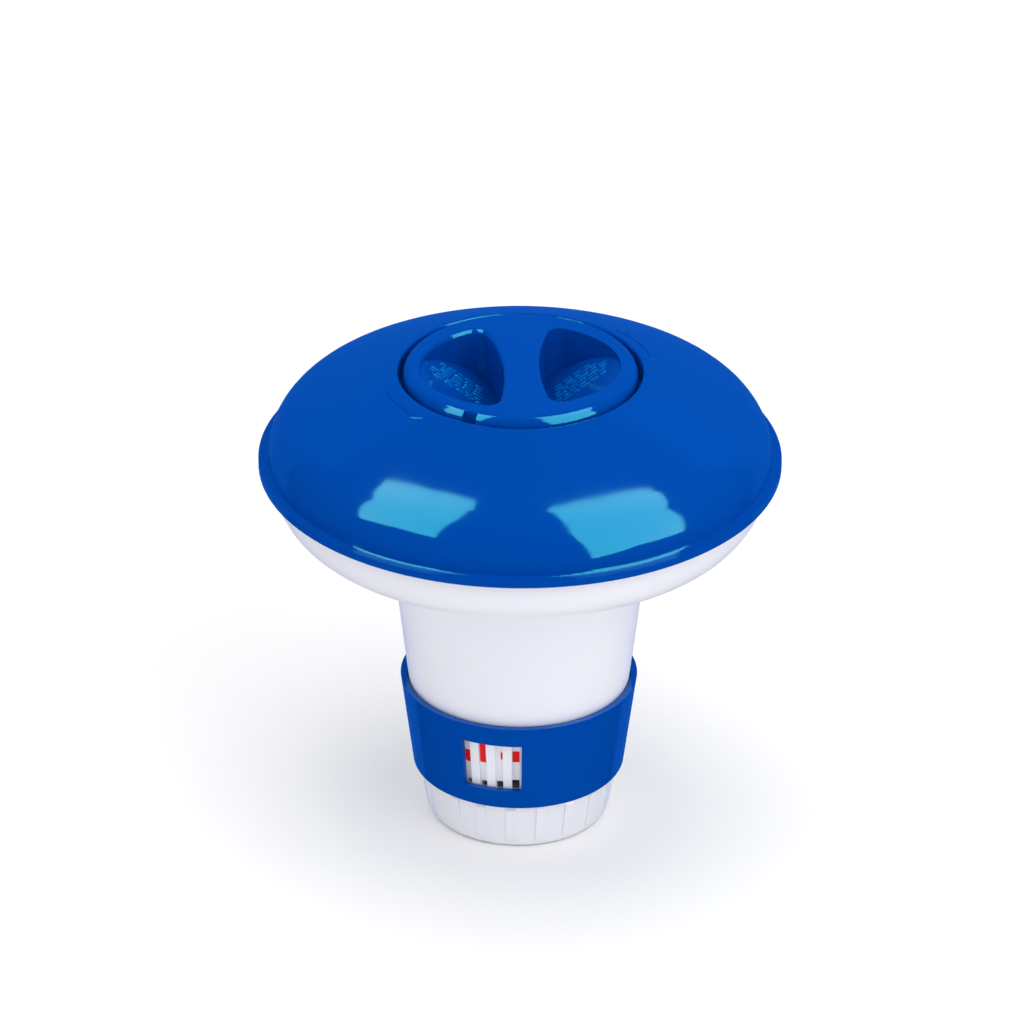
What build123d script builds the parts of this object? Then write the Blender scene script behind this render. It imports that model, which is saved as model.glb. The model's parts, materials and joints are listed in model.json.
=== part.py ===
from build123d import *
import math
import os

# Floating chlorine dispenser, in millimetres.
# +Z is up and the origin is the centre of the base cup's foot.
# -Y is the front, where the regulator window lies over the dosing grooves.

os.makedirs("parts", exist_ok=True)

# ---- driving dimensions -------------------------------------------------------------------

WALL = 2.0  # general moulded wall
GAP = 0.3  # clearance between pieces that turn on each other
OVERLAP = 0.3  # how far an added feature is sunk into the wall that carries it
SEAL_SLACK = 0.05  # clearance of a soft seal

# float shells
RIM_Z = 96.0  # underside of the rim flange
FLANGE_R = 63.5
FLANGE_T = 1.8
FLANGE_EDGE_R = 0.5
FLANGE_ROOT_R = 0.7
DOME_R = 61.3
SHOULDER = (53.6, 110.8)  # where the dome's tight shoulder arc meets its flat crown arc
WELL_R = 29.6
WELL_TOP = 121.1
WELL_LIP_R = 0.6
WELL_INNER_TOP = 118.5  # where the inside of the skin meets the well's wall
SHELF_Z = 115.0  # seat of the cap seal
SHELF_R = 26.6
PAN_R = 60.6
PAN_CORNER = (10.6, 14.2)  # semi-axes of the pan's rounded side
PAN_EDGE_H = 0.3  # short upright edge under the rim
PAN_BOTTOM = 80.0
PAN_LAND_R = 38.0  # flat land round the pan's hole
PAN_HOLE_R = 32.6

# rim joint
TONGUE_R = 58.9
TONGUE_INNER_R = 56.7
TONGUE_TOP = 99.2
TONGUE_FOOT = 3.0  # how far the tongue's root reaches below the rim
SEAL_Z = 97.7
SEAL_SECTION_R = 0.62
SEAL_GROOVE = (0.9, 0.7)  # depth and half-height of the groove it lies in

# barrel
BARREL_R = 24.33  # outer radius at BARREL_R_Z
BARREL_R_Z = 13.0
BARREL_TAPER = 0.118
BARREL_TOP = 84.0
BARREL_FLANGE_R = 36.0
STEP_Z = 12.8  # shelf that the base cup's rim meets
STEP_R = 22.9
CONE_Z = 14.9  # lowest point of the tapered wall
SPIGOT_R = 21.2
SPIGOT_INNER_R = 19.6
BEAD_H = 0.35  # snap bead that holds the base cup
BEAD_Z = (8.8, 10.4)
GRID_Z = 15.2
GRID_T = 1.8
GRID_R = 22.4
GRID_HOLE_R = 1.5
GRID_RINGS = ((0.0, 1), (6.5, 6), (12.5, 12), (18.0, 18))  # radius, number of holes

# dosing grooves, ports and marks
FRONT = -90.0  # angle about Z of the window and the grooves
GROOVE_PITCH = 9.2
GROOVE_W = 1.9
GROOVE_DEPTH = 0.9
GROOVE_CORNER_R = 0.25
GROOVE_Z = (17.3, 35.5)
PORTS = ((1.3, 19.2), (1.48, 19.4), (1.6, 19.9), (1.75, 20.5))  # width, top
MARKS = ((1.75, 24.4, 27.8), (1.75, 25.0, 31.0), (0.6, 26.6, 28.7), (1.75, 26.0, 29.2))  # width, low, top
MARK_T = 0.12
MARK_INSET = 0.05  # from the groove's side
MARK_CORNER_R = 0.28

# regulator ring and its stop
RING_BOTTOM = 13.05
RING_TOP = 37.4
RING_R = 25.92  # outer radius at RING_BOTTOM
RING_TAPER = 0.131
RING_EDGE_R = 1.0
LIP_TOP = 14.6
LIP_INNER_R = 23.2
WINDOW_Z = (18.6, 32.2)
WINDOW_ARC = 31.2
WINDOW_TURN = 1.2  # turn of the window's middle from that of the grooves
TURN = 40.0  # travel of the ring between its stops
KEY_START = 60.0
KEY_ARC = 8.0
KEY_R = 24.0
KEY_PLAY = 1.0  # degrees left between the key and each end of its slot

# base cup and ballast
CUP_TOP_R = 24.2
CUP_FOOT_R = 21.95
CUP_BORE_R = 21.25
CUP_STEP_Z = 6.0
CUP_STEP_R = 19.6
CUP_FLOOR = 2.0
FOOT_RECESS = (17.0, 0.6)  # radius and depth
FOOT_EDGE_R = 1.6
RIB_COUNT = 20
RIB_ARC = 5.5
RIB_START = 8.0  # angle of the first rib's leading edge
RIB_H = 0.35
RIB_STEP = 0.05  # height of a rib at its very ends
RIB_Z = (1.9, 12.1)
RIB_EASE = 0.4  # height over which a rib's ends run out
PEN_R = (17.3, 18.7)  # wall round the ballast weight
BALLAST_R = 17.1
BALLAST_EDGE = 0.5
BALLAST_TOP = 5.9
COVER_R = 21.0
COVER_TOP = 7.4

# filler neck
NECK_R = 26.2
NECK_WALL = 2.0
NECK_FLANGE_T = 1.8
NECK_BOTTOM = 85.2
NECK_TOP = 111.8
NECK_FLANGE_R = 33.5
NECK_FOOT_R = 35.6
LEDGE_R = 24.6
LEDGE_Z = (107.0, 109.5)
LEDGE_ARC = 50.0
STOP_ARC = 8.0
GASKET_INSET = 0.3  # from the edges of the faces it lies between

# cap
CAP_ANGLE = 18.0  # turn of the grip bar away from the front
CAP_R = 28.5
CAP_UNDER = 116.5
CAP_CROWN = 123.6
CAP_EDGE_Z = 122.3
CAP_SHOULDER_R = 3.0
CAP_WALL = 1.8
SKIRT_R = 24.2
SKIRT_BORE_R = 22.2
SKIRT_BOTTOM = 104.0
LUG_R = 25.8
LUG_Z = (104.4, 106.7)
LUG_ARC = 30.0
POCKET_AXES = (24.2, 21.0)  # semi-axes of the pockets' outer edge, across and along the bar
POCKET_SHIFT = -1.0  # centre of that edge along the bar
POCKET_TILT = 37.0  # slope of the pocket floors, down towards the bar
POCKET_EDGE_Z = 121.6  # height of a pocket floor at its outer edge
POCKET_CORNER_R = 3.0
POCKET_RIM_R = 1.2
BAR_HALF = (8.0, 4.5, 12.0)  # half-width of the grip bar at its front, middle and back
NOTCH_ANGLE = -100.7
NOTCH = (3.2, 3.6, 4.0)  # radial depth, width and height
NOTCH_TOP = 122.6
SEAL_RING = (24.6, 28.2)  # inner and outer radius of the cap seal


# ---- shared shapes ------------------------------------------------------------------------


def barrel_r(z):
    """Outer radius of the tapered barrel at height z."""
    return BARREL_R + BARREL_TAPER * (z - BARREL_R_Z)


def ring_r(z):
    """Outer radius of the regulator ring at height z."""
    return RING_R + RING_TAPER * (z - RING_BOTTOM)


def cup_r(z):
    """Outer radius of the base cup at height z."""
    return CUP_FOOT_R + (CUP_TOP_R - CUP_FOOT_R) * z / STEP_Z


def section(*points, angle=0.0):
    """Closed outline of (radius, height) points in the upright plane at angle about Z."""
    turn = math.radians(angle)
    upright = Plane(
        origin=(0, 0, 0),
        x_dir=(math.cos(turn), math.sin(turn), 0),
        z_dir=(math.sin(turn), -math.cos(turn), 0),
    )
    with BuildSketch(upright) as outline:
        with BuildLine():
            Polyline(*points, close=True)
        make_face()
    return outline.sketch


def block_section(radii, heights, angle=0.0):
    """Rectangular section between two radii and two heights."""
    low = [(radii[0], heights[0]), (radii[1], heights[0])]
    high = [(radii[1], heights[1]), (radii[0], heights[1])]
    return section(*low, *high, angle=angle)


def groove_plane(index):
    """Floor of a dosing groove: x runs across it, y up the barrel's slope and z outwards."""
    angle = math.radians(FRONT + GROOVE_PITCH * (index - 1.5))
    out = Vector(math.cos(angle), math.sin(angle), 0)
    across = Vector(-math.sin(angle), math.cos(angle), 0)
    return Plane(
        origin=out * (barrel_r(0) - GROOVE_DEPTH),
        x_dir=across,
        z_dir=out - Vector(0, 0, BARREL_TAPER),
    )


def up_slope(z):
    """Distance along the barrel's slope that climbs z."""
    return z * math.hypot(1, BARREL_TAPER)


def pocket_column(grow):
    """Upright column through the +X finger pocket, with its sides moved out by grow."""
    reach = POCKET_AXES[0] + 2
    with BuildPart() as column:
        with BuildSketch(Plane.XY.offset(SKIRT_BOTTOM)) as plan:
            with BuildLine():
                side = ThreePointArc(
                    (BAR_HALF[0] - grow, -reach),
                    (BAR_HALF[1] - grow, 0),
                    (BAR_HALF[2] - grow, reach),
                )
                Polyline(side @ 1, (2 * reach, reach), (2 * reach, -reach), side @ 0)
            make_face()
            with Locations((0, POCKET_SHIFT)):
                Ellipse(POCKET_AXES[0] + grow, POCKET_AXES[1] + grow, mode=Mode.INTERSECT)
            fillet(plan.vertices(), radius=POCKET_CORNER_R + grow)
        extrude(amount=CAP_CROWN + 3 - SKIRT_BOTTOM)
    return column.part


def pocket_floor(drop):
    """Plane of the +X pocket's floor, sloping down towards the bar, moved down by drop."""
    tilt = math.radians(POCKET_TILT)
    return Plane(
        origin=(POCKET_AXES[0], 0, POCKET_EDGE_Z - drop / math.cos(tilt)),
        x_dir=(0, 1, 0),
        z_dir=(-math.sin(tilt), 0, math.cos(tilt)),
    )


# ---- float --------------------------------------------------------------------------------

flange_top = RIM_Z + FLANGE_T
dome_inner_r = DOME_R - WALL
rise = SHOULDER[1] - flange_top
run = DOME_R - SHOULDER[0]
shoulder_arc_r = (run**2 + rise**2) / (2 * run)
shoulder_centre = (DOME_R - shoulder_arc_r, flange_top)
inner_scale = (shoulder_arc_r - WALL) / shoulder_arc_r
inner_shoulder = (
    shoulder_centre[0] + inner_scale * (SHOULDER[0] - shoulder_centre[0]),
    shoulder_centre[1] + inner_scale * rise,
)

with BuildPart() as float_dome:
    with BuildSketch(Plane.XZ) as dome_outline:
        with BuildLine():
            outer_side = TangentArc((DOME_R, flange_top), SHOULDER, tangent=(0, 1))
            outer_crown = TangentArc(SHOULDER, (WELL_R, WELL_TOP), tangent=outer_side % 1)
            Polyline(
                outer_crown @ 1,
                (WELL_R, SHELF_Z),
                (SHELF_R, SHELF_Z),
                (SHELF_R, SHELF_Z - WALL),
                (WELL_R + WALL, SHELF_Z - WALL),
                (WELL_R + WALL, WELL_INNER_TOP),
            )
            inner_side = TangentArc((dome_inner_r, flange_top), inner_shoulder, tangent=(0, 1))
            TangentArc(inner_shoulder, (WELL_R + WALL, WELL_INNER_TOP), tangent=inner_side % 1)
            Polyline(
                (dome_inner_r, flange_top),
                (dome_inner_r, RIM_Z),
                (FLANGE_R, RIM_Z),
                (FLANGE_R, flange_top),
                (DOME_R, flange_top),
            )
        make_face()
        corners = dome_outline.vertices()
        fillet(corners.sort_by(Axis.Y)[-1], radius=WELL_LIP_R)
        flange_corners = corners.sort_by(Axis.X)[-2:]
        fillet(flange_corners, radius=FLANGE_EDGE_R)
    revolve(axis=Axis.Z)
    flange_root = float_dome.edges().filter_by(GeomType.CIRCLE).filter_by_position(
        Axis.Z, flange_top - 0.01, flange_top + 0.01
    )
    fillet([edge for edge in flange_root if abs(edge.radius - DOME_R) < 0.01], radius=FLANGE_ROOT_R)
float_dome.part.label = "float_dome"
export_step(float_dome.part, "parts/float_dome.step")

pan_centre = (PAN_R - PAN_CORNER[0], RIM_Z - PAN_EDGE_H)
inner_corner = (PAN_CORNER[0] - WALL, PAN_CORNER[1] - WALL)

with BuildPart() as float_pan:
    with BuildSketch(Plane.XZ):
        with BuildLine():
            outer = EllipticalCenterArc(pan_centre, *PAN_CORNER, start_angle=-90, arc_size=90)
            inner = EllipticalCenterArc(pan_centre, *inner_corner, start_angle=-90, arc_size=90)
            Polyline(outer @ 1, (PAN_R, RIM_Z), (PAN_R - WALL, RIM_Z), inner @ 1)
            Polyline(
                inner @ 0,
                (PAN_LAND_R, PAN_BOTTOM + WALL),
                (PAN_HOLE_R, PAN_BOTTOM + WALL),
                (PAN_HOLE_R, PAN_BOTTOM),
                (PAN_LAND_R, PAN_BOTTOM),
                outer @ 0,
            )
        make_face()
    revolve(axis=Axis.Z)
    revolve(
        section(
            (TONGUE_INNER_R, TONGUE_TOP),
            (TONGUE_R, TONGUE_TOP),
            (TONGUE_R, SEAL_Z + SEAL_GROOVE[1]),
            (TONGUE_R - SEAL_GROOVE[0], SEAL_Z + SEAL_GROOVE[1]),
            (TONGUE_R - SEAL_GROOVE[0], SEAL_Z - SEAL_GROOVE[1]),
            (TONGUE_R, SEAL_Z - SEAL_GROOVE[1]),
            (TONGUE_R, RIM_Z),
            (PAN_R - WALL / 3, RIM_Z),
            (PAN_R - WALL / 3, RIM_Z - TONGUE_FOOT),
            (PAN_R - WALL - WALL / 3, RIM_Z - TONGUE_FOOT),
            (TONGUE_INNER_R, RIM_Z - TONGUE_FOOT / 2),
        ),
        axis=Axis.Z,
    )
float_pan.part.label = "float_pan"
export_step(float_pan.part, "parts/float_pan.step")

with BuildPart() as rim_seal:
    with Locations((0, 0, SEAL_Z)):
        Torus(dome_inner_r - SEAL_SECTION_R - SEAL_SLACK, SEAL_SECTION_R)
rim_seal.part.label = "rim_seal"
export_step(rim_seal.part, "parts/rim_seal.step")

# ---- barrel -------------------------------------------------------------------------------

with BuildPart() as tablet_barrel:
    revolve(
        section(
            (SPIGOT_INNER_R, COVER_TOP),
            (SPIGOT_R, COVER_TOP),
            (SPIGOT_R, BEAD_Z[0]),
            (SPIGOT_R + BEAD_H, sum(BEAD_Z) / 2),
            (SPIGOT_R, BEAD_Z[1]),
            (SPIGOT_R, STEP_Z),
            (STEP_R, STEP_Z),
            (STEP_R, CONE_Z),
            (barrel_r(CONE_Z), CONE_Z),
            (barrel_r(PAN_BOTTOM + WALL), PAN_BOTTOM + WALL),
            (BARREL_FLANGE_R, PAN_BOTTOM + WALL),
            (BARREL_FLANGE_R, BARREL_TOP),
            (barrel_r(BARREL_TOP) - WALL, BARREL_TOP),
            (barrel_r(GRID_Z) - WALL, GRID_Z),
            (SPIGOT_INNER_R, GRID_Z),
        ),
        axis=Axis.Z,
    )
    for index, (port_w, port_top) in enumerate(PORTS):
        with BuildSketch(groove_plane(index)):
            with Locations((0, up_slope(sum(GROOVE_Z) / 2))):
                RectangleRounded(GROOVE_W, up_slope(GROOVE_Z[1] - GROOVE_Z[0]), GROOVE_CORNER_R)
        extrude(amount=WALL, mode=Mode.SUBTRACT)
        with BuildSketch(groove_plane(index)):
            with Locations((0, up_slope((GROOVE_Z[0] + port_top) / 2))):
                Rectangle(port_w, up_slope(port_top - GROOVE_Z[0]))
        extrude(amount=-2 * WALL, mode=Mode.SUBTRACT)
    revolve(
        block_section((STEP_R - OVERLAP, KEY_R), (RING_BOTTOM, CONE_Z + OVERLAP), KEY_START),
        axis=Axis.Z,
        revolution_arc=KEY_ARC,
    )
tablet_barrel.part.label = "tablet_barrel"
export_step(tablet_barrel.part, "parts/tablet_barrel.step")

with BuildPart() as dose_marks:
    for index, (mark_w, mark_bottom, mark_top) in enumerate(MARKS):
        with BuildSketch(groove_plane(index)):
            side_shift = GROOVE_W / 2 - MARK_INSET - mark_w / 2
            with Locations((side_shift, up_slope((mark_bottom + mark_top) / 2))):
                RectangleRounded(mark_w, up_slope(mark_top - mark_bottom), MARK_CORNER_R)
        extrude(amount=MARK_T)
dose_marks.part.label = "dose_marks"
export_step(dose_marks.part, "parts/dose_marks.step")

with BuildPart() as tablet_grid:
    with BuildSketch(Plane.XY.offset(GRID_Z)):
        Circle(GRID_R)
        for hole_ring_r, hole_count in GRID_RINGS:
            with PolarLocations(hole_ring_r, hole_count):
                Circle(GRID_HOLE_R, mode=Mode.SUBTRACT)
    extrude(amount=GRID_T)
tablet_grid.part.label = "tablet_grid"
export_step(tablet_grid.part, "parts/tablet_grid.step")

# ---- regulator ring -----------------------------------------------------------------------

with BuildPart() as regulator_ring:
    with BuildSketch(Plane.XZ):
        with BuildLine():
            Polyline(
                (LIP_INNER_R, RING_BOTTOM),
                (RING_R, RING_BOTTOM),
                (ring_r(RING_TOP), RING_TOP),
                (barrel_r(RING_TOP) + GAP, RING_TOP),
                (barrel_r(LIP_TOP) + GAP, LIP_TOP),
                (LIP_INNER_R, LIP_TOP),
                close=True,
            )
        ring_face = make_face()
        fillet(ring_face.vertices().group_by(Axis.Y)[0].sort_by(Axis.X)[-1], radius=RING_EDGE_R)
    revolve(axis=Axis.Z)
    window_start = FRONT + WINDOW_TURN - WINDOW_ARC / 2
    revolve(
        block_section((LIP_INNER_R, ring_r(RING_TOP) + 1), WINDOW_Z, window_start),
        axis=Axis.Z,
        revolution_arc=WINDOW_ARC,
        mode=Mode.SUBTRACT,
    )
    key_slot = block_section(
        (LIP_INNER_R - 1, KEY_R + GAP), (RING_BOTTOM - 1, LIP_TOP + 1), KEY_START - TURN - KEY_PLAY
    )
    revolve(
        key_slot,
        axis=Axis.Z,
        revolution_arc=TURN + KEY_ARC + 2 * KEY_PLAY,
        mode=Mode.SUBTRACT,
    )
regulator_ring.part.label = "regulator_ring"
export_step(regulator_ring.part, "parts/regulator_ring.step")

# ---- base cup and ballast -----------------------------------------------------------------

with BuildPart() as base_cup:
    with BuildSketch(Plane.XZ):
        with BuildLine():
            Polyline(
                (0, FOOT_RECESS[1]),
                (FOOT_RECESS[0], FOOT_RECESS[1]),
                (FOOT_RECESS[0] + FOOT_RECESS[1], 0),
                (CUP_FOOT_R, 0),
                (CUP_TOP_R, STEP_Z),
                (CUP_BORE_R, STEP_Z),
                (CUP_BORE_R, BEAD_Z[1]),
                (CUP_BORE_R + BEAD_H, sum(BEAD_Z) / 2),
                (CUP_BORE_R, BEAD_Z[0]),
                (CUP_BORE_R, CUP_STEP_Z),
                (CUP_STEP_R, CUP_STEP_Z),
                (CUP_STEP_R, CUP_FLOOR),
                (PEN_R[1], CUP_FLOOR),
                (PEN_R[1], CUP_STEP_Z),
                (PEN_R[0], CUP_STEP_Z),
                (PEN_R[0], CUP_FLOOR),
                (0, CUP_FLOOR),
                close=True,
            )
        cup_face = make_face()
        fillet(cup_face.vertices().group_by(Axis.Y)[0].sort_by(Axis.X)[-1], radius=FOOT_EDGE_R)
    revolve(axis=Axis.Z)
    for index in range(RIB_COUNT):
        rib = section(
            (cup_r(RIB_Z[0]) - OVERLAP, RIB_Z[0]),
            (cup_r(RIB_Z[0]) + RIB_STEP, RIB_Z[0]),
            (cup_r(RIB_Z[0] + RIB_EASE) + RIB_H, RIB_Z[0] + RIB_EASE),
            (cup_r(RIB_Z[1] - RIB_EASE) + RIB_H, RIB_Z[1] - RIB_EASE),
            (cup_r(RIB_Z[1]) + RIB_STEP, RIB_Z[1]),
            (cup_r(RIB_Z[1]) - OVERLAP, RIB_Z[1]),
            angle=RIB_START + index * 360 / RIB_COUNT,
        )
        revolve(rib, axis=Axis.Z, revolution_arc=RIB_ARC)
base_cup.part.label = "base_cup"
export_step(base_cup.part, "parts/base_cup.step")

with BuildPart() as ballast_weight:
    with BuildSketch(Plane.XY.offset(CUP_FLOOR)):
        Circle(BALLAST_R)
    extrude(amount=BALLAST_TOP - CUP_FLOOR)
    chamfer(ballast_weight.edges().filter_by(GeomType.CIRCLE), length=BALLAST_EDGE)
ballast_weight.part.label = "ballast_weight"
export_step(ballast_weight.part, "parts/ballast_weight.step")

with BuildPart() as ballast_cover:
    with BuildSketch(Plane.XY.offset(CUP_STEP_Z)):
        Circle(COVER_R)
    extrude(amount=COVER_TOP - CUP_STEP_Z)
ballast_cover.part.label = "ballast_cover"
export_step(ballast_cover.part, "parts/ballast_cover.step")

# ---- filler neck and its gaskets ----------------------------------------------------------

with BuildPart() as filler_neck:
    revolve(
        section(
            (NECK_R, NECK_BOTTOM),
            (NECK_FOOT_R, NECK_BOTTOM),
            (NECK_FOOT_R, NECK_BOTTOM + NECK_FLANGE_T),
            (NECK_R + NECK_WALL, NECK_BOTTOM + NECK_FLANGE_T),
            (NECK_R + NECK_WALL, NECK_TOP - NECK_FLANGE_T),
            (NECK_FLANGE_R, NECK_TOP - NECK_FLANGE_T),
            (NECK_FLANGE_R, NECK_TOP),
            (NECK_R, NECK_TOP),
        ),
        axis=Axis.Z,
    )
    for index in range(4):
        ledge_start = CAP_ANGLE + index * 90 - LEDGE_ARC / 2
        revolve(
            block_section((LEDGE_R, NECK_R + OVERLAP), LEDGE_Z, ledge_start),
            axis=Axis.Z,
            revolution_arc=LEDGE_ARC,
        )
        revolve(
            block_section((LEDGE_R, NECK_R + OVERLAP), (LUG_Z[0], LEDGE_Z[0] + OVERLAP), ledge_start),
            axis=Axis.Z,
            revolution_arc=STOP_ARC,
        )
filler_neck.part.label = "filler_neck"
export_step(filler_neck.part, "parts/filler_neck.step")

with BuildPart() as neck_gasket:
    revolve(
        block_section((SHELF_R + GASKET_INSET, NECK_FLANGE_R - GASKET_INSET), (NECK_TOP, SHELF_Z - WALL)),
        axis=Axis.Z,
    )
neck_gasket.part.label = "neck_gasket"
export_step(neck_gasket.part, "parts/neck_gasket.step")

with BuildPart() as neck_foot_gasket:
    foot_gasket_r = (barrel_r(BARREL_TOP) - WALL + GASKET_INSET, NECK_FOOT_R - GASKET_INSET)
    revolve(block_section(foot_gasket_r, (BARREL_TOP, NECK_BOTTOM)), axis=Axis.Z)
neck_foot_gasket.part.label = "neck_foot_gasket"
export_step(neck_foot_gasket.part, "parts/neck_foot_gasket.step")

# ---- cap ----------------------------------------------------------------------------------

cap_frame = Plane(
    origin=(0, 0, 0),
    x_dir=(math.cos(math.radians(CAP_ANGLE)), math.sin(math.radians(CAP_ANGLE)), 0),
    z_dir=(0, 0, 1),
)

with BuildPart() as cap_blank:
    with BuildSketch(Plane.XZ):
        with BuildLine():
            crown = TangentArc((0, CAP_CROWN), (CAP_R, CAP_EDGE_Z), tangent=(1, 0))
            Polyline(crown @ 1, (CAP_R, CAP_UNDER), (0, CAP_UNDER), crown @ 0)
        disc_face = make_face()
        fillet(disc_face.vertices().sort_by(Axis.X)[-2:].sort_by(Axis.Y)[-1], radius=CAP_SHOULDER_R)
    revolve(axis=Axis.Z)
    with BuildSketch(Plane.XY.offset(SKIRT_BOTTOM)):
        Circle(SKIRT_R)
    extrude(amount=CAP_UNDER - SKIRT_BOTTOM)

with BuildPart() as pocket_filling:
    add(cap_blank.part)
    add(pocket_column(POCKET_RIM_R), mode=Mode.INTERSECT)
    split(bisect_by=pocket_floor(0), keep=Keep.BOTTOM)

with BuildPart() as pocket_shell:
    add(pocket_column(CAP_WALL))
    split(bisect_by=pocket_floor(CAP_WALL), keep=Keep.TOP)

with BuildPart() as cap_inside:
    with BuildSketch(Plane.XY.offset(SKIRT_BOTTOM)):
        Circle(SKIRT_BORE_R)
    extrude(amount=CAP_EDGE_Z - CAP_WALL - SKIRT_BOTTOM)
    for shell in (pocket_shell.part, pocket_shell.part.mirror(Plane.YZ)):
        add(shell, mode=Mode.SUBTRACT)

with BuildPart() as cap_shape:
    add(cap_blank.part)
    for column in (pocket_column(0), pocket_column(0).mirror(Plane.YZ)):
        add(column, mode=Mode.SUBTRACT)
    rims = cap_shape.faces().filter_by(GeomType.PLANE, reverse=True).sort_by(Axis.Z)[-1].inner_wires()
    fillet(rims.edges(), radius=POCKET_RIM_R)
    for filling in (pocket_filling.part, pocket_filling.part.mirror(Plane.YZ)):
        add(filling)
    add(cap_inside.part, mode=Mode.SUBTRACT)
    for index in range(4):
        revolve(
            block_section((SKIRT_R - OVERLAP, LUG_R), LUG_Z, 45 + 90 * index - LUG_ARC / 2),
            axis=Axis.Z,
            revolution_arc=LUG_ARC,
        )

with BuildPart() as filler_cap:
    with Locations(cap_frame):
        add(cap_shape.part)
    with Locations(Plane.XY.offset(NOTCH_TOP - NOTCH[2] / 2)):
        with PolarLocations(CAP_R, 1, start_angle=NOTCH_ANGLE):
            Box(*NOTCH, mode=Mode.SUBTRACT)
filler_cap.part.label = "filler_cap"
export_step(filler_cap.part, "parts/filler_cap.step")

with BuildPart() as cap_seal:
    revolve(block_section(SEAL_RING, (SHELF_Z + SEAL_SLACK, CAP_UNDER - SEAL_SLACK)), axis=Axis.Z)
cap_seal.part.label = "cap_seal"
export_step(cap_seal.part, "parts/cap_seal.step")
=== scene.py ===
import json
import math
import random

import bpy
from mathutils import Matrix, Quaternion, Vector
from mathutils.bvhtree import BVHTree


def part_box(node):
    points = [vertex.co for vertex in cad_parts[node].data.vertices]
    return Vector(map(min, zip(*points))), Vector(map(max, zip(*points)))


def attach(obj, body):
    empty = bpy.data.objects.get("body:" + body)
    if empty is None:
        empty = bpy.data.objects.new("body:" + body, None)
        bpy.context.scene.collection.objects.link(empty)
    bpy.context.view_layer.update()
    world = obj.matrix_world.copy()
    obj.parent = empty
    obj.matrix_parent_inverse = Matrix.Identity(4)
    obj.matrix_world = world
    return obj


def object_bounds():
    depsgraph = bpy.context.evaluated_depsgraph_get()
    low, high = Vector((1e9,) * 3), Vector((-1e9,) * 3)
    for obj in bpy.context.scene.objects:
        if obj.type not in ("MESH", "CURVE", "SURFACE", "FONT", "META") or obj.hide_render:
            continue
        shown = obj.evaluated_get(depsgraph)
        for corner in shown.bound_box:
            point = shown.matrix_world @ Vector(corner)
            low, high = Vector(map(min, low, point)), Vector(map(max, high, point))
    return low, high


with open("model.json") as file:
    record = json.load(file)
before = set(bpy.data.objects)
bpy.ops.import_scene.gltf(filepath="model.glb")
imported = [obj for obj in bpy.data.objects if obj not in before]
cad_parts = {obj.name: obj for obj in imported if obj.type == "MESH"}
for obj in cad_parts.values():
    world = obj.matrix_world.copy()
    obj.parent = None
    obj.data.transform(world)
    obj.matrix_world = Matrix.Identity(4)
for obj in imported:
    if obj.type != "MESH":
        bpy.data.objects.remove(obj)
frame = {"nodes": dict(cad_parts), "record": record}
cad_low, cad_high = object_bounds()
nodes = frame["nodes"]
scene = bpy.context.scene
random.seed(7)

MM = 0.001

# ---- camera, light and floor ---------------------------------------------------------------

VIEW_AZIMUTH = math.radians(15.2)
VIEW_ELEVATION = math.radians(29.0)
CAMERA_DISTANCE = 2.0
AIM_HEIGHT = 0.066
CAMERA_ROLL = math.radians(0.3)
CAMERA_LENS = 287.6  # millimetres, on a sensor 36 mm wide
CAMERA_SHIFT = (-0.0073, 0.0558)

# The outlines of the two glowing windows, in metres from each one's middle.
LEFT_OUTLINE = (
    (-0.18, 0.40), (0.06, 0.37), (0.25, 0.41), (0.33, -0.05),
    (0.32, -0.48), (0.14, -0.45), (-0.11, -0.48), (-0.05, -0.06),
)
RIGHT_OUTLINE = (
    (-0.25, 0.56), (-0.05, 0.50), (0.24, 0.54), (-0.02, -0.11),
    (0.09, -0.54), (-0.20, -0.50), (-0.39, -0.57), (-0.41, -0.15),
)
WINDOW_STRENGTH = 9.0
FLOOR_HALF = 3.0


def seen_from(right, back, up):
    """A point given as right of, behind and above the foot, as the camera sees them."""
    return Vector((
        right * math.cos(VIEW_AZIMUTH) - back * math.sin(VIEW_AZIMUTH),
        right * math.sin(VIEW_AZIMUTH) + back * math.cos(VIEW_AZIMUTH),
        up,
    ))


def make_camera():
    data = bpy.data.cameras.new("camera")
    data.sensor_width = 36.0
    data.lens = CAMERA_LENS
    data.shift_x, data.shift_y = CAMERA_SHIFT
    data.clip_start, data.clip_end = 0.05, 50.0
    camera = bpy.data.objects.new("camera", data)
    scene.collection.objects.link(camera)
    aim = Vector((0, 0, AIM_HEIGHT))
    reach = CAMERA_DISTANCE * math.cos(VIEW_ELEVATION)
    camera.location = aim + seen_from(0, -reach, CAMERA_DISTANCE * math.sin(VIEW_ELEVATION))
    level = (aim - camera.location).to_track_quat("-Z", "Y")
    camera.rotation_euler = (level @ Quaternion((0, 0, 1), CAMERA_ROLL)).to_euler()
    scene.camera = camera


def placed(name, data, centre, across, up):
    """An object at centre with its X along across and its Z away from the object's own middle."""
    made = bpy.data.objects.new(name, data)
    scene.collection.objects.link(made)
    x = across.normalized()
    z = across.cross(up).normalized()
    if z.dot(centre) < 0:
        z = -z
    y = z.cross(x)
    made.matrix_world = Matrix((
        (x.x, y.x, z.x, centre.x),
        (x.y, y.y, z.y, centre.y),
        (x.z, y.z, z.z, centre.z),
        (0, 0, 0, 1),
    ))
    return made


def area_light(name, centre, across, up, strength, colour=(1, 1, 1), glossy_only=False, diffuse_only=False):
    """Rectangular light with its sides along two vectors; it shines towards the object."""
    data = bpy.data.lights.new(name, "AREA")
    data.shape = "RECTANGLE"
    data.size, data.size_y = across.length, up.length
    data.energy = strength * across.length * up.length * math.pi
    data.color = colour
    light = placed(name, data, centre, across, up)
    light.visible_diffuse = not glossy_only
    light.visible_glossy = not diffuse_only


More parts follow.
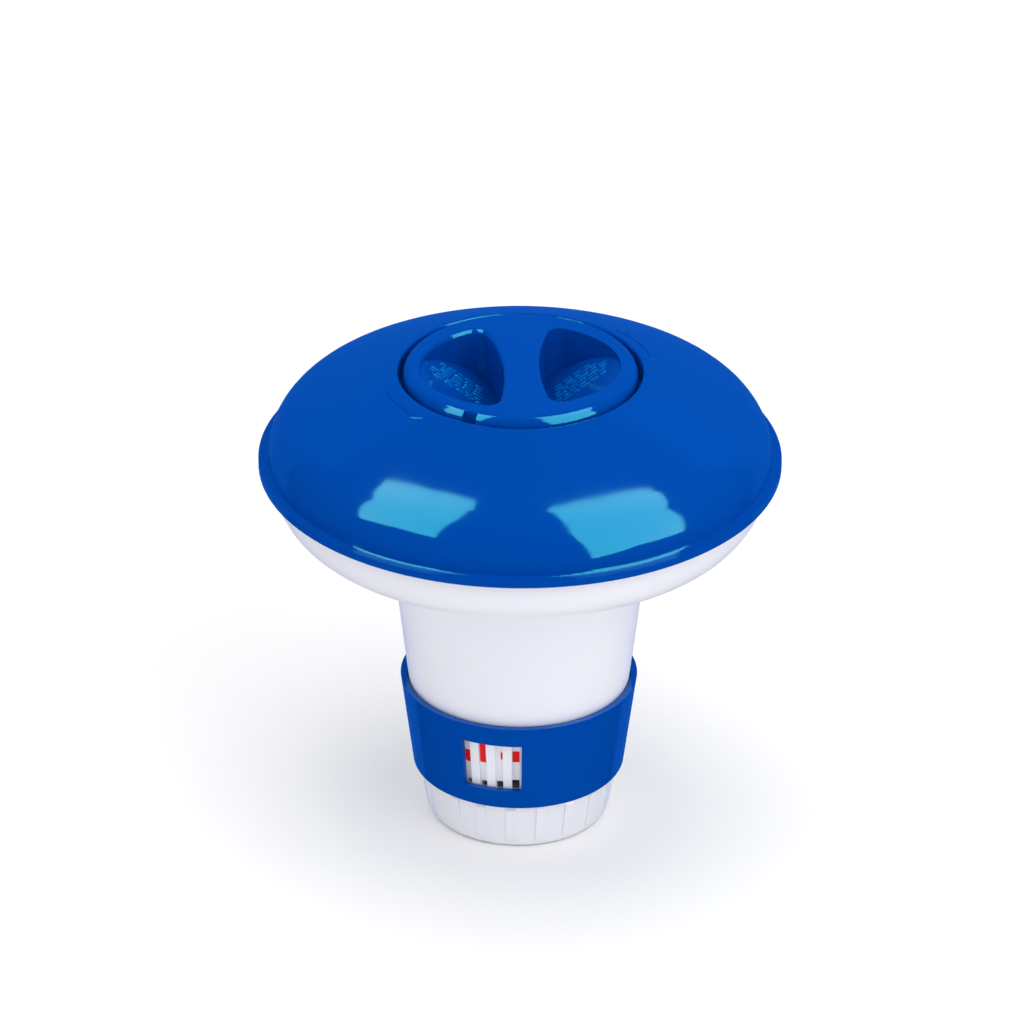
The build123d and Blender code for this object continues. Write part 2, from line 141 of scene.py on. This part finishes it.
def softbox(name, centre, across, up, outline):
    """Glowing window that only reflections see. Its outline is in its own plane, in metres."""
    if across.cross(up).dot(centre) < 0:
        outline = [(x, -y) for x, y in outline]
    mesh = bpy.data.meshes.new(name)
    mesh.from_pydata([(x, y, 0) for x, y in outline], [], [tuple(range(len(outline)))])
    material = bpy.data.materials.new(name)
    material.use_nodes = True
    tree = material.node_tree
    tree.nodes.remove(tree.nodes["Principled BSDF"])
    glow = tree.nodes.new("ShaderNodeEmission")
    glow.inputs["Color"].default_value = (1, 1, 1, 1)
    glow.inputs["Strength"].default_value = WINDOW_STRENGTH
    tree.links.new(glow.outputs["Emission"], tree.nodes["Material Output"].inputs["Surface"])
    mesh.materials.append(material)
    made = placed(name, mesh, centre, across, up)
    made.visible_camera = made.visible_diffuse = made.visible_shadow = False


def make_lights():
    softbox(
        "softbox_left", seen_from(-0.468, 0.008, 0.713), seen_from(0.34, -0.263, 0.071),
        seen_from(0.16, 0.52, 0.66), LEFT_OUTLINE,
    )
    softbox(
        "softbox_right", seen_from(0.456, -0.045, 0.571), seen_from(0.43, 0.293, -0.005),
        seen_from(-0.165, 0.517, 0.95), RIGHT_OUTLINE,
    )
    area_light(
        "backdrop", seen_from(0, 3.0, 0.4), seen_from(9.0, 0, 0), seen_from(0, 0, 7.6),
        0.55, colour=(0.02, 0.2, 1.0), glossy_only=True,
    )
    area_light(
        "key", seen_from(0.75, -0.8, 1.1), seen_from(0.8, 0.75, 0), seen_from(-0.5, 0.53, 0.7),
        1.5, diffuse_only=True,
    )
    area_light(
        "top", seen_from(-0.1, 0.1, 1.6), seen_from(1.4, 0, 0), seen_from(0, 1.4, 0), 1.3, diffuse_only=True,
    )
    world = bpy.data.worlds.new("studio")
    scene.world = world
    world.use_nodes = True
    world.node_tree.nodes["Background"].inputs["Color"].default_value = (1, 1, 1, 1)
    world.node_tree.nodes["Background"].inputs["Strength"].default_value = 0.8
    world.cycles_visibility.glossy = False


def make_floor():
    mesh = bpy.data.meshes.new("floor")
    corners = [(x * FLOOR_HALF, y * FLOOR_HALF, 0) for x, y in ((-1, -1), (1, -1), (1, 1), (-1, 1))]
    mesh.from_pydata(corners, [], [(0, 1, 2, 3)])
    floor = bpy.data.objects.new("floor", mesh)
    scene.collection.objects.link(floor)
    material = bpy.data.materials.new("floor_paper")
    material.use_nodes = True
    shader = material.node_tree.nodes["Principled BSDF"]
    shader.inputs["Base Color"].default_value = (0.95, 0.95, 0.95, 1)
    shader.inputs["Roughness"].default_value = 0.9
    shader.inputs["Specular IOR Level"].default_value = 0.0
    mesh.materials.append(material)
    floor.visible_glossy = False


# ---- materials -----------------------------------------------------------------------------


class Shader:
    """A Principled material and the few nodes that give it its detail, in object space."""

    def __init__(self, name, colour, roughness, **values):
        self.material = bpy.data.materials.new(name)
        self.material.use_nodes = True
        self.tree = self.material.node_tree
        self.bsdf = self.tree.nodes["Principled BSDF"]
        self.bsdf.inputs["Base Color"].default_value = (*colour, 1)
        self.bsdf.inputs["Roughness"].default_value = roughness
        for socket, value in values.items():
            self.bsdf.inputs[socket.replace("_", " ")].default_value = value
        self.place = self.tree.nodes.new("ShaderNodeTexCoord").outputs["Object"]
        self.bump_chain = None

    def noise(self, per_metre, detail, stretch=(1, 1, 1)):
        mapping = self.tree.nodes.new("ShaderNodeMapping")
        mapping.inputs["Scale"].default_value = [per_metre * s for s in stretch]
        self.tree.links.new(self.place, mapping.inputs["Vector"])
        texture = self.tree.nodes.new("ShaderNodeTexNoise")
        texture.inputs["Scale"].default_value = 1.0
        texture.inputs["Detail"].default_value = detail
        texture.inputs["Roughness"].default_value = 0.5
        self.tree.links.new(mapping.outputs["Vector"], texture.inputs["Vector"])
        return texture.outputs["Fac"]

    def map_range(self, value, out_low, out_high):
        """Spreads the middle of a noise's values over a range."""
        node = self.tree.nodes.new("ShaderNodeMapRange")
        node.inputs["From Min"].default_value = 0.3
        node.inputs["From Max"].default_value = 0.7
        node.inputs["To Min"].default_value = out_low
        node.inputs["To Max"].default_value = out_high
        self.tree.links.new(value, node.inputs["Value"])
        return node.outputs["Result"]

    def vary_roughness(self, value, low, high):
        self.tree.links.new(self.map_range(value, low, high), self.bsdf.inputs["Roughness"])

    def vary_colour(self, value, dark, light):
        mix = self.tree.nodes.new("ShaderNodeMix")
        mix.data_type = "RGBA"
        mix.inputs["A"].default_value = (*dark, 1)
        mix.inputs["B"].default_value = (*light, 1)
        self.tree.links.new(self.map_range(value, 0.0, 1.0), mix.inputs["Factor"])
        self.tree.links.new(mix.outputs["Result"], self.bsdf.inputs["Base Color"])

    def bump(self, value, depth):
        node = self.tree.nodes.new("ShaderNodeBump")
        node.inputs["Distance"].default_value = depth
        node.inputs["Strength"].default_value = 1.0
        self.tree.links.new(value, node.inputs["Height"])
        if self.bump_chain:
            self.tree.links.new(self.bump_chain, node.inputs["Normal"])
        self.tree.links.new(node.outputs["Normal"], self.bsdf.inputs["Normal"])
        self.bump_chain = node.outputs["Normal"]


def blue_plastic():
    made = Shader("blue_plastic", (0.0, 0.075, 0.42), 0.08, Specular_Tint=(0.1, 1.0, 0.85, 1), IOR=1.46)
    made.vary_colour(made.noise(9, 2), (0.0, 0.058, 0.365), (0.0, 0.066, 0.40))
    made.vary_roughness(made.noise(90, 3), 0.06, 0.09)
    made.bump(made.noise(45, 1), 0.000025)
    made.bump(made.noise(1400, 3), 0.0000015)
    return made.material


def painted_highlight_blue_marks():
    """The blue of the raised marks, paler than the plastic they are moulded in: a painted highlight for the
    glints on their thin crests.
    """
    made = Shader("painted_highlight_blue_marks", (0.0, 0.16, 0.56), 0.16, Specular_Tint=(0.1, 1.0, 0.85, 1), IOR=1.46)
    # Both ends of this mix are paler than the cap's blue, which paints the dashes' highlight into their
    # colour.
    made.vary_colour(made.noise(400, 2), (0.0, 0.12, 0.50), (0.0, 0.21, 0.64))
    made.bump(made.noise(1400, 3), 0.0000015)
    return made.material


def white_plastic():
    made = Shader("white_plastic", (0.8, 0.81, 0.88), 0.3, IOR=1.5)
    made.vary_colour(made.noise(14, 3), (0.85, 0.855, 0.93), (0.88, 0.885, 0.95))
    made.vary_roughness(made.noise(90, 3), 0.28, 0.36)
    made.bump(made.noise(60, 2), 0.00002)
    made.bump(made.noise(2500, 3), 0.000002)
    return made.material


def seal_rubber():
    made = Shader("seal_rubber", (0.025, 0.025, 0.028), 0.7, IOR=1.5)
    made.vary_roughness(made.noise(500, 4), 0.55, 0.8)
    made.bump(made.noise(900, 4), 0.00004)
    return made.material


def red_print():
    made = Shader("red_print", (0.85, 0.004, 0.01), 0.5, Specular_IOR_Level=0.2)
    made.vary_colour(made.noise(900, 3), (0.84, 0.003, 0.006), (0.95, 0.005, 0.012))
    made.bump(made.noise(2500, 3), 0.00001)
    return made.material


def ballast_steel():
    made = Shader("ballast_steel", (0.5, 0.51, 0.53), 0.35, Metallic=1.0)
    made.vary_roughness(made.noise(150, 5), 0.25, 0.5)
    made.bump(made.noise(80, 4, stretch=(1, 30, 1)), 0.00003)
    return made.material


MAKERS = {
    "blue_plastic": blue_plastic,
    "white_plastic": white_plastic,
    "seal_rubber": seal_rubber,
    "red_print": red_print,
    "ballast_steel": ballast_steel,
}


def finish_cad_nodes():
    """Gives every CAD node its detailed material and returns the materials by slot."""
    made = {slot: maker() for slot, maker in MAKERS.items()}
    for row in frame["record"]["subparts"]:
        node = nodes[row["node"]]
        node.data.materials.clear()
        node.data.materials.append(made[row["material_slot"]])
    return made


# ---- raised marks --------------------------------------------------------------------------


class Surface:
    """Upper surface of a CAD node, found from straight above."""

    def __init__(self, name):
        mesh = nodes[name].data
        self.tree = BVHTree.FromPolygons(
            [v.co[:] for v in mesh.vertices], [p.vertices[:] for p in mesh.polygons]
        )

    def point(self, x, y, lift):
        place = self.tree.ray_cast(Vector((x, y, cad_high[2] + 0.01)), Vector((0, 0, -1)))
        return place[0] + place[1] * lift


SINK = 0.15 * MM  # how far a raised mark's foot lies below the surface
CAP_TURN = math.radians(18)  # turn of the cap's grip bar away from the front
DASH_HALF_WIDTH = 0.3 * MM
DASH_HEIGHT = 0.3 * MM
DASH_ROWS = 6
FIRST_ROW, ROW_PITCH = 2.0 * MM, 1.75 * MM  # along the grip bar
FLOOR_REACH = (22.6 * MM, 20.0 * MM)  # semi-axes of the area with dashes
DASH_GAP = 1.0 * MM
ARROW_HEIGHT = 0.22 * MM
ARROW_HALF_WIDTH = 0.45 * MM
ARROW_HEAD_HALF_WIDTH = 1.5 * MM
ARROW_MARGIN = 4.6 * MM  # from the cap's edge
ARROW_SWEEP = math.radians(26)


def raised_mark(surface, outline, height):
    """Vertices and faces of a low mark with that (x, y) outline, its top narrower than its foot."""
    centre = Vector((sum(p[0] for p in outline), sum(p[1] for p in outline))) / len(outline)
    verts = []
    for grow, lift in ((1.0, -SINK), (1.0, 0.6 * height), (0.82, height)):
        for x, y in outline:
            at = centre + (Vector((x, y)) - centre) * grow
            verts.append(surface.point(at.x, at.y, lift))
    count = len(outline)
    faces = []
    for level in (0, count):
        for i in range(count):
            j = (i + 1) % count
            faces.append((level + i, level + j, level + count + j, level + count + i))
    faces.append(tuple(range(2 * count, 3 * count)))
    faces.append(tuple(reversed(range(count))))
    return verts, faces


def marks_object(name, marks, body, material):
    """One object made of many raised marks, riding on a body of the CAD."""
    verts, faces = [], []
    for mark_verts, mark_faces in marks:
        base = len(verts)
        verts += mark_verts
        faces += [tuple(base + i for i in face) for face in mark_faces]
    mesh = bpy.data.meshes.new(name)
    mesh.from_pydata([v[:] for v in verts], [], faces)
    mesh.materials.append(material)
    made = bpy.data.objects.new(name, mesh)
    scene.collection.objects.link(made)
    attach(made, body)


def capsule(start, end, half_width, steps=4):
    """Outline of a straight dash with round ends, anticlockwise."""
    along = (Vector(end) - Vector(start)).normalized()
    angle = math.atan2(along.y, along.x)
    outline = []
    for point, first in ((end, -0.5), (start, 0.5)):
        for step in range(steps + 1):
            turn = angle + math.pi * (first + step / steps)
            outline.append((point[0] + half_width * math.cos(turn), point[1] + half_width * math.sin(turn)))
    return outline


def in_cap(across, along):
    """A point across and along the grip bar, in the row frame."""
    return (
        across * math.cos(CAP_TURN) - along * math.sin(CAP_TURN),
        across * math.sin(CAP_TURN) + along * math.cos(CAP_TURN),
    )


def grip_dashes(side):
    """Rows of short raised dashes that run down a pocket's floor towards the grip bar."""
    surface = Surface("filler_cap")
    marks = []
    for row in range(DASH_ROWS):
        along = FIRST_ROW + ROW_PITCH * row
        reach = FLOOR_REACH[0] * math.sqrt(1 - (along / FLOOR_REACH[1]) ** 2)
        across = random.uniform(8.6, 9.8) * MM
        while across < reach:
            length = random.uniform(0.7, 2.0) * MM
            if across + length < reach:
                ends = [in_cap(side * a, along) for a in (across, across + length)]
                marks.append(raised_mark(surface, capsule(*ends, DASH_HALF_WIDTH), DASH_HEIGHT))
            across += length + DASH_GAP
    return marks


def raised_band(surface, radius, start, sweep, half_width, height, steps=20):
    """Vertices and faces of a low curved rib round the Z axis."""
    crest = 0.75 * half_width
    profile = ((-half_width, -SINK), (-crest, height), (crest, height), (half_width, -SINK))
    verts, faces = [], []
    for i in range(steps + 1):
        turn = start + sweep * i / steps
        for off, lift in profile:
            reach = radius + off
            verts.append(surface.point(reach * math.cos(turn), reach * math.sin(turn), lift))
    count = len(profile)
    for i in range(steps):
        for k in range(count):
            j = (k + 1) % count
            faces.append((i * count + k, i * count + j, (i + 1) * count + j, (i + 1) * count + k))
    faces.append(tuple(range(count)))
    faces.append(tuple(steps * count + k for k in reversed(range(count))))
    return verts, faces


def turning_arrow(surface, radius, start, sweep):
    """A slim curved arrow on the dome round the cap: a shaft and a head."""
    neck, tip = start + 0.98 * sweep, start + 1.18 * sweep
    head = [
        ((radius + off) * math.cos(turn), (radius + off) * math.sin(turn))
        for turn, off in ((neck, -ARROW_HEAD_HALF_WIDTH), (neck, ARROW_HEAD_HALF_WIDTH), (tip, 0))
    ]
    return [
        raised_band(surface, radius, start, sweep, ARROW_HALF_WIDTH, ARROW_HEIGHT),
        raised_mark(surface, head, ARROW_HEIGHT),
    ]


def make_marks(dash_painted_highlight_material, arrow_material):
    for side, label in ((1, "right"), (-1, "left")):
        marks_object("grip_dashes_" + label, grip_dashes(side), "cap", dash_painted_highlight_material)
    dome = Surface("float_dome")
    arrow_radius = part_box("filler_cap")[1][0] + ARROW_MARGIN
    for label, start in (("front", math.radians(-150)), ("back", math.radians(30))):
        arrow = turning_arrow(dome, arrow_radius, start, ARROW_SWEEP)
        marks_object("turn_arrow_" + label, arrow, "float", arrow_material)


make_camera()
make_lights()
make_floor()
materials = finish_cad_nodes()
# The dashes get the paler blue, a painted highlight. The arrows get the plain blue plastic.
make_marks(painted_highlight_blue_marks(), materials["blue_plastic"])
scene.view_settings.view_transform = "Standard"
